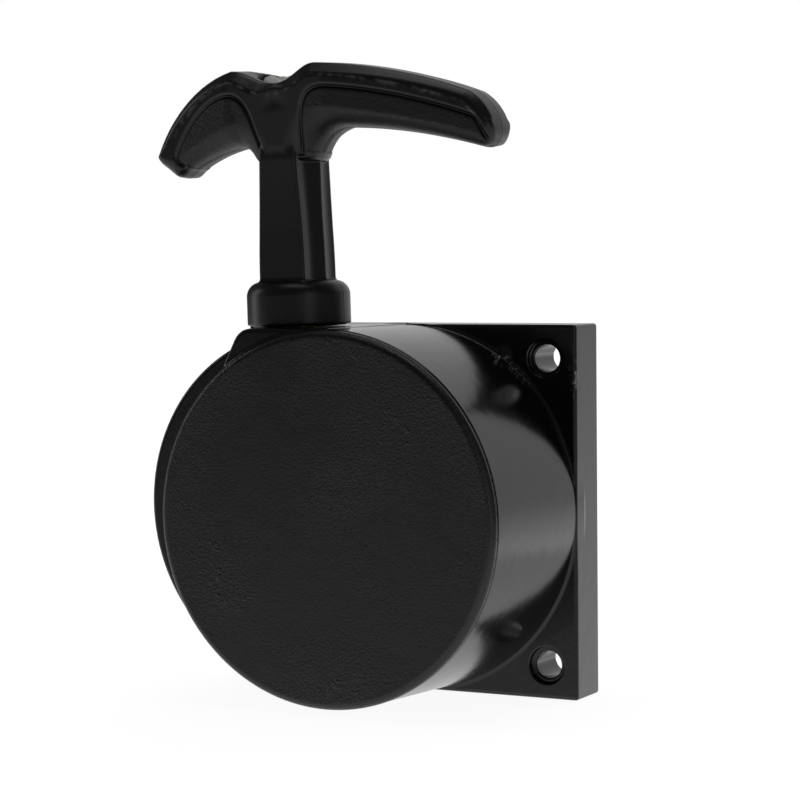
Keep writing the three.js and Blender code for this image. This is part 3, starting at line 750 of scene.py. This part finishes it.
def make_rope_winding():
    piece = braided_tube("rope_turns", winding_path(), radius=ROPE_R * 0.96, sides=12, per_mm=0.9)
    finish(piece, "pulley", "rope_nylon", white_rope(), "rope_winding")


def knot_path(size, height):
    """A closed overhand knot."""
    turn = np.linspace(0, 2 * np.pi, 90)
    x = size * (np.sin(turn) + 2 * np.sin(2 * turn))
    y = size * (np.cos(turn) - 2 * np.cos(2 * turn))
    return np.stack([x, y, height * np.sin(3 * turn)], 1)


def make_knots():
    """The stopper knot in the handle's well and the anchor knot in the pulley."""
    top = braided_tube("rope_stopper_knot", knot_path(1.05, 1.9) * (1.3, 1, 1) + KNOT_PLACE, sides=16)
    top.matrix_world = HANDLE_FRAME
    finish(top, "rope_end", "rope_nylon", white_rope(), "rope_top_knot")
    low, high = box_mm("rope_anchor_knot")
    middle = (low + high) / 2
    path = knot_path(0.5, 0.8)[:, (0, 2, 1)] + np.array(middle)
    anchor = braided_tube("rope_tied_end", path, radius=1.1, sides=12)
    finish(anchor, "pulley", "rope_nylon", white_rope(), "rope_anchor_knot")


def make_rope_lead():
    """From the winding, round the bush and up the handle's bore. It stretches with the pull."""
    bend = HANDLE_FRAME @ Vector((0, 0, -4 * MM)) / MM
    top = HANDLE_FRAME @ Vector((0, 0, (WELL_FLOOR + 1) * MM)) / MM
    tangent = math.radians(ROPE_LEAVES)
    foot = bend + Vector((-math.sin(tangent), 0, -math.cos(tangent))) * 11
    share = np.linspace(0, 1, 40)[:, None]
    before, middle, after = (np.array(p) for p in (bend.lerp(foot, 0.3), bend, bend.lerp(top, 0.07)))
    curve = (1 - share) ** 2 * before + 2 * share * (1 - share) * middle + share ** 2 * after
    path = np.concatenate([[np.array(foot)], curve, [np.array(top)]])
    piece = braided_tube("rope_run", path)
    boss_top = HANDLE_FRAME @ Vector((0, 0, 0))
    in_stem = HANDLE_FRAME @ Vector((0, 0, ROPE_FREE * MM))
    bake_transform(piece, "housing", "rope_end", boss_top, in_stem)
    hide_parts("rope_lead")
    piece.data.materials.append(white_rope())


# ---- Inner works ----------------------------------------------------------------------------------

INNER_WORKS = {
    "rope_pulley": ("pulley_nylon", "nylon", 0.25),
    "spring_case": ("zinc_plate", "zinc", 0.15),
    "spring_cover": ("zinc_plate", "zinc", 0.15),
    "guide_plate": ("zinc_plate", "zinc", 0.15),
    "screw_washer": ("zinc_plate", "zinc", 0.15),
    "knot_washer": ("zinc_plate", "zinc", 0.1),
    "post_sleeve": ("bare_steel", "steel", 0.15),
    "pawl_pin_a": ("bare_steel", "steel", 0.2),
    "pawl_pin_b": ("bare_steel", "steel", 0.2),
    "pawl_a": ("bare_steel", "steel", 0.25),
    "pawl_b": ("bare_steel", "steel", 0.25),
    "centre_screw": ("bare_steel", "steel", 0.3),
    "recoil_spring": ("spring_steel", "blued", 0.08),
    "brake_spring": ("spring_steel", "blued", 0),
    "rope_guide_bush": ("bush_brass", "brass", 0.15),
    "thrust_washer": ("fibre", "fibre", 0.08),
}


def make_inner_piece(node_name, slot, material, edge):
    """A cleaned copy of a CAD node, smooth where it is round and with its corners broken."""
    node = frame["nodes"][node_name]
    mesh = node.data.copy()
    piece = bpy.data.objects.new("inner_" + node_name, mesh)
    bpy.context.scene.collection.objects.link(piece)
    piece.matrix_world = node.matrix_world.copy()
    shape = bmesh.new()
    shape.from_mesh(mesh)
    bmesh.ops.remove_doubles(shape, verts=shape.verts, dist=2e-6)
    bmesh.ops.dissolve_limit(shape, angle_limit=math.radians(2), verts=shape.verts, edges=shape.edges)
    for face in shape.faces:
        face.smooth = True
    for joint in shape.edges:
        joint.smooth = joint.calc_face_angle(3) < math.radians(30)
    shape.to_mesh(mesh)
    shape.free()
    if edge:
        bevel = piece.modifiers.new("broken_edges", "BEVEL")
        bevel.width = edge * MM
        bevel.segments = 2
        bevel.limit_method = "ANGLE"
        bevel.angle_limit = math.radians(35)
        bevel.harden_normals = True
    mesh.materials.clear()
    finish(piece, body_of(node)[0], slot, material, node_name)


def make_inner_works():
    materials = {
        "nylon": pulley_nylon(),
        "zinc": zinc_plate(),
        "steel": bare_steel(),
        "blued": spring_steel(),
        "brass": bush_brass(),
        "fibre": fibre_board(),
    }
    for node_name, (slot, kind, edge) in INNER_WORKS.items():
        make_inner_piece(node_name, slot, materials[kind], edge)


# ---- Materials ------------------------------------------------------------------------------------

def new_material(name, roughness, metallic=0.0, specular=0.5):
    """A material and its shader node."""
    material = bpy.data.materials.new(name)
    material.use_nodes = True
    shader = material.node_tree.nodes["Principled BSDF"]
    shader.inputs["Roughness"].default_value = roughness
    shader.inputs["Metallic"].default_value = metallic
    shader.inputs["Specular IOR Level"].default_value = specular
    return material, shader


def noise(material, scale, detail=2.0, roughness=0.5):
    """Solid noise in the object's own space. Scale is per metre."""
    nodes, links = material.node_tree.nodes, material.node_tree.links
    place = nodes.new("ShaderNodeTexCoord")
    texture = nodes.new("ShaderNodeTexNoise")
    texture.inputs["Scale"].default_value = scale
    texture.inputs["Detail"].default_value = detail
    texture.inputs["Roughness"].default_value = roughness
    links.new(place.outputs["Object"], texture.inputs["Vector"])
    return texture.outputs["Fac"]


def ramp(material, value, low, high, *colours):
    """Colours spread evenly from low to high of a value."""
    nodes, links = material.node_tree.nodes, material.node_tree.links
    node = nodes.new("ShaderNodeValToRGB")
    while len(node.color_ramp.elements) < len(colours):
        node.color_ramp.elements.new(0.5)
    for i, colour in enumerate(colours):
        element = node.color_ramp.elements[i]
        element.position = low + (high - low) * i / (len(colours) - 1)
        element.color = (*colour, 1)
    links.new(value, node.inputs["Fac"])
    return node.outputs["Color"]


def bump(material, shader, height, distance, strength=1.0, normal=None):
    """Relief of that height (metres), laid over the relief in normal if there is one."""
    nodes, links = material.node_tree.nodes, material.node_tree.links
    node = nodes.new("ShaderNodeBump")
    node.inputs["Distance"].default_value = distance
    node.inputs["Strength"].default_value = strength
    links.new(height, node.inputs["Height"])
    if normal is not None:
        links.new(normal, node.inputs["Normal"])
    links.new(node.outputs["Normal"], shader.inputs["Normal"])
    return node.outputs["Normal"]


def grey(level):
    """A grey with a trace of blue."""
    return (level, level, level * 1.04)


def set_input(material, shader, name, value):
    """Feeds one of the shader's inputs from another node."""
    material.node_tree.links.new(value, shader.inputs[name])


def maths(material, operation, first, second):
    """One arithmetic node, whose inputs are sockets or numbers."""
    node = material.node_tree.nodes.new("ShaderNodeMath")
    node.operation = operation
    for socket, value in zip(node.inputs, (first, second)):
        if isinstance(value, (int, float)):
            socket.default_value = value
        else:
            material.node_tree.links.new(value, socket)
    return node.outputs[0]


def stored(material, name):
    """A value stored on the mesh."""
    node = material.node_tree.nodes.new("ShaderNodeAttribute")
    node.attribute_name = name
    return node.outputs["Fac"]


def position(material, axis):
    """The object's own X, Y or Z."""
    nodes, links = material.node_tree.nodes, material.node_tree.links
    coordinates = nodes.new("ShaderNodeTexCoord")
    split = nodes.new("ShaderNodeSeparateXYZ")
    links.new(coordinates.outputs["Object"], split.inputs[0])
    return split.outputs[axis]


def total(material, *terms):
    """The sum of terms, each a (value, factor) pair."""
    value = 0.0
    for term, factor in terms:
        value = maths(material, "ADD", maths(material, "MULTIPLY", term, factor), value)
    return value


def black_paint():
    """Glossy black enamel: smooth on the drum, orange-peeled on the cap's face, chipped on one edge."""
    material, shader = new_material("black_paint", 0.2, specular=0.5)
    colour = ramp(material, noise(material, 900, 3), 0.3, 0.7, grey(0.003), grey(0.006))
    chips = maths(material, "MULTIPLY", stored(material, "chipped"), patches(material, 900, 0.52, 0.58))
    set_input(material, shader, "Base Color", blend_colours(material, chips, colour, grey(0.35)))
    on_cap = maths(material, "LESS_THAN", position(material, "Y"), (CAP_FACE + 1.0) * MM)
    roughness = total(material, (on_cap, 0.14), (noise(material, 60, 3), 0.1), (1.0, 0.13))
    set_input(material, shader, "Roughness", roughness)
    pits = maths(material, "MULTIPLY", patches(material, 700, 0.6, 0.68), patches(material, 45, 0.6, 0.66))
    pits = maths(material, "MULTIPLY", pits, on_cap)
    rough_areas = ramp(material, noise(material, 35, 2), 0.4, 0.6, grey(0.3), grey(1.0))
    grain = maths(material, "MULTIPLY", noise(material, 1900, 4, 0.65), rough_areas)
    grain = maths(material, "MULTIPLY", grain, total(material, (on_cap, 1.0), (1.0, 0.06)))
    peel = bump(material, shader, total(material, (grain, 1.0), (pits, 0.5)), 0.00018, 0.7)
    bump(material, shader, noise(material, 230, 2), 0.0003, 0.16, peel)
    return material


def black_plastic():
    """Black moulded nylon: a smooth frame, grained grip panels and pale flash on the top edges."""
    material, shader = new_material("black_plastic", 0.38, specular=0.36)
    specks = patches(material, 2600, 0.68, 0.76)
    flash = maths(material, "MULTIPLY", stored(material, "flash"), patches(material, 700, 0.42, 0.6))
    pale = total(material, (flash, 0.7), (specks, 0.07))
    set_input(material, shader, "Base Color", blend_colours(material, pale, grey(0.008), grey(0.11)))
    grained = stored(material, "grained")
    depth = total(material, (grained, 1.0), (1.0, 0.1))
    grain = maths(material, "MULTIPLY", noise(material, 1700, 3, 0.7), depth)
    set_input(material, shader, "Roughness", total(material, (grained, 0.12), (1.0, 0.34)))
    fine = bump(material, shader, grain, 0.0002, 0.7)
    bump(material, shader, seam_height(material), 0.00012, 0.9, fine)
    return material


def patches(material, scale, low, high):
    """Noise turned into broken patches between 0 and 1."""
    return ramp(material, noise(material, scale, 2), low, high, (0, 0, 0), (1, 1, 1))


def blend_colours(material, share, first, second):
    """From the first colour to the second as share goes from 0 to 1."""
    mix = material.node_tree.nodes.new("ShaderNodeMix")
    mix.data_type = "RGBA"
    material.node_tree.links.new(share, mix.inputs["Factor"])
    for name, colour in (("A", first), ("B", second)):
        socket = next(s for s in mix.inputs if s.name == name and s.type == "RGBA")
        if isinstance(colour, tuple):
            socket.default_value = (*colour, 1)
        else:
            material.node_tree.links.new(colour, socket)
    return next(s for s in mix.outputs if s.type == "RGBA")


def seam_height(material):
    """The thin raised line where the two mould halves met, at the middle of the thickness."""
    off = maths(material, "ABSOLUTE", position(material, "Y"), 0.0)
    near = maths(material, "DIVIDE", off, 0.00022)
    return maths(material, "MAXIMUM", maths(material, "SUBTRACT", 1.0, near), 0.0)


def simple_material(name, base, dark, roughness, metallic, scale, bump_depth):
    """A plain finish with uneven colour and fine surface marks."""
    material, shader = new_material(name, roughness, metallic)
    set_input(material, shader, "Base Color", ramp(material, noise(material, scale, 4), 0.3, 0.7, dark, base))
    bump(material, shader, noise(material, scale * 3, 3), bump_depth, 0.5)
    return material


def pulley_nylon():
    return simple_material("pulley_nylon", (0.62, 0.6, 0.53), (0.55, 0.52, 0.45), 0.45, 0, 260, 0.00005)


def zinc_plate():
    return simple_material("zinc_plate", (0.62, 0.64, 0.66), (0.45, 0.47, 0.5), 0.3, 1, 500, 0.00003)


def bare_steel():
    return simple_material("bare_steel", (0.5, 0.5, 0.5), (0.34, 0.33, 0.32), 0.35, 1, 420, 0.00003)


def spring_steel():
    return simple_material("spring_steel", (0.2, 0.22, 0.27), (0.12, 0.13, 0.17), 0.3, 1, 350, 0.00002)


def bush_brass():
    return simple_material("bush_brass", (0.66, 0.5, 0.22), (0.5, 0.36, 0.14), 0.3, 1, 600, 0.00002)


def fibre_board():
    return simple_material("fibre_board", (0.3, 0.13, 0.06), (0.22, 0.09, 0.04), 0.7, 0, 900, 0.00004)


def white_rope():
    """One material, made once and shared by every piece of the rope."""
    made = bpy.data.materials.get("white_rope")
    return made or simple_material("white_rope", (0.86, 0.85, 0.82), (0.7, 0.69, 0.65), 0.6, 0, 1400, 0.00006)


# ---- Stage ----------------------------------------------------------------------------------------

def make_camera():
    """A long lens from the right and slightly above."""
    camera = bpy.data.objects.new("camera", bpy.data.cameras.new("camera"))
    bpy.context.scene.collection.objects.link(camera)
    turn = Matrix.Rotation(math.radians(CAMERA_AZIMUTH), 4, "Z")
    tilt = Matrix.Rotation(math.radians(90 - CAMERA_PITCH), 4, "X")
    roll = Matrix.Rotation(math.radians(CAMERA_ROLL), 4, "Z")
    camera.matrix_world = Matrix.Translation(CAMERA_PLACE * MM) @ turn @ tilt @ roll
    camera.data.lens = CAMERA_LENS
    camera.data.sensor_width = 36
    camera.data.clip_start = 0.01
    camera.data.clip_end = 50
    bpy.context.scene.camera = camera


def area_light(name, place, target, size, power):
    """A soft rectangular light, turned towards its target."""
    light = bpy.data.lights.new(name, "AREA")
    light.shape = "RECTANGLE"
    light.size, light.size_y = size
    light.energy = power
    lamp = bpy.data.objects.new(name, light)
    bpy.context.scene.collection.objects.link(lamp)
    lamp.location = place
    lamp.rotation_euler = (Vector(target) - Vector(place)).to_track_quat("-Z", "Y").to_euler()


def make_world():
    """White behind the object. In reflections it is a dim room, lighter below than above."""
    world = bpy.data.worlds.new("studio")
    bpy.context.scene.world = world
    world.use_nodes = True
    nodes, links = world.node_tree.nodes, world.node_tree.links
    nodes.clear()
    direction = nodes.new("ShaderNodeTexCoord")
    split = nodes.new("ShaderNodeSeparateXYZ")
    links.new(direction.outputs["Generated"], split.inputs[0])
    height = nodes.new("ShaderNodeMapRange")
    links.new(split.outputs["Z"], height.inputs["Value"])
    height.inputs["From Min"].default_value = -0.26
    height.inputs["From Max"].default_value = -0.02
    height.inputs["To Min"].default_value = ROOM_BELOW
    height.inputs["To Max"].default_value = ROOM_ABOVE
    room = nodes.new("ShaderNodeBackground")
    links.new(height.outputs["Result"], room.inputs["Strength"])
    paper = nodes.new("ShaderNodeBackground")
    paper.inputs["Color"].default_value = (1, 1, 1, 1)
    room.inputs["Color"].default_value = (1, 1, 1, 1)
    path = nodes.new("ShaderNodeLightPath")
    mix = nodes.new("ShaderNodeMixShader")
    links.new(path.outputs["Is Camera Ray"], mix.inputs[0])
    links.new(room.outputs[0], mix.inputs[1])
    links.new(paper.outputs[0], mix.inputs[2])
    out = nodes.new("ShaderNodeOutputWorld")
    links.new(mix.outputs[0], out.inputs["Surface"])


def make_floor():
    """A pale sheet that glows, dimmer round the object as a painted soft shadow under it, and brighter
    further out to meet the background without a line.
    """
    half = FLOOR_HALF
    z = (-FLANGE_HALF - FLOOR_GAP) * MM
    corners = [(-half, -half, z), (half, -half, z), (half, half, z), (-half, half, z)]
    floor = mesh_object("floor", corners, [(0, 1, 2, 3)], smooth=False)
    material, shader = new_material("floor_paper", 0.9, specular=0.0)
    colour = ramp(material, noise(material, 40, 2), 0.3, 0.7, (0.18, 0.18, 0.18), (0.2, 0.2, 0.2))
    set_input(material, shader, "Base Color", colour)
    # The glow is weakest under the object and rises with distance from it: a painted soft shadow.
    squares = [maths(material, "POWER", position(material, axis), 2.0) for axis in "XY"]
    distance = maths(material, "SQRT", maths(material, "ADD", *squares), 0.0)
    glow_with_painted_shadow = total(material, (distance, 0.2), (1.0, 0.93))
    set_input(material, shader, "Emission Strength", maths(material, "MINIMUM", glow_with_painted_shadow, 1.0))
    shader.inputs["Emission Color"].default_value = (1, 1, 1, 1)
    floor.data.materials.append(material)
    floor.visible_glossy = False
    floor.visible_diffuse = False


def make_stage():
    """The camera, the surroundings and four soft lights."""
    make_camera()
    make_world()
    make_floor()
    middle = (0, -0.02, 0.02)
    area_light("backdrop", (0.1, 1.6, 0.45), (0, 0, 0.1), (2.8, 2.0), 11)
    area_light("left_strip", (-1.2, -0.12, 0.25), middle, (0.3, 0.9), 1.6)
    area_light("right_front", (0.95, -0.75, 0.3), middle, (0.5, 0.7), 0.7)
    area_light("overhead", (0.0, 0.1, 1.5), middle, (0.9, 0.9), 4.5)
    bpy.context.scene.view_settings.view_transform = "Standard"


# ---- Build ----------------------------------------------------------------------------------------

make_stage()
make_housing()
make_handle()
make_rope_winding()
make_knots()
make_rope_lead()
make_inner_works()
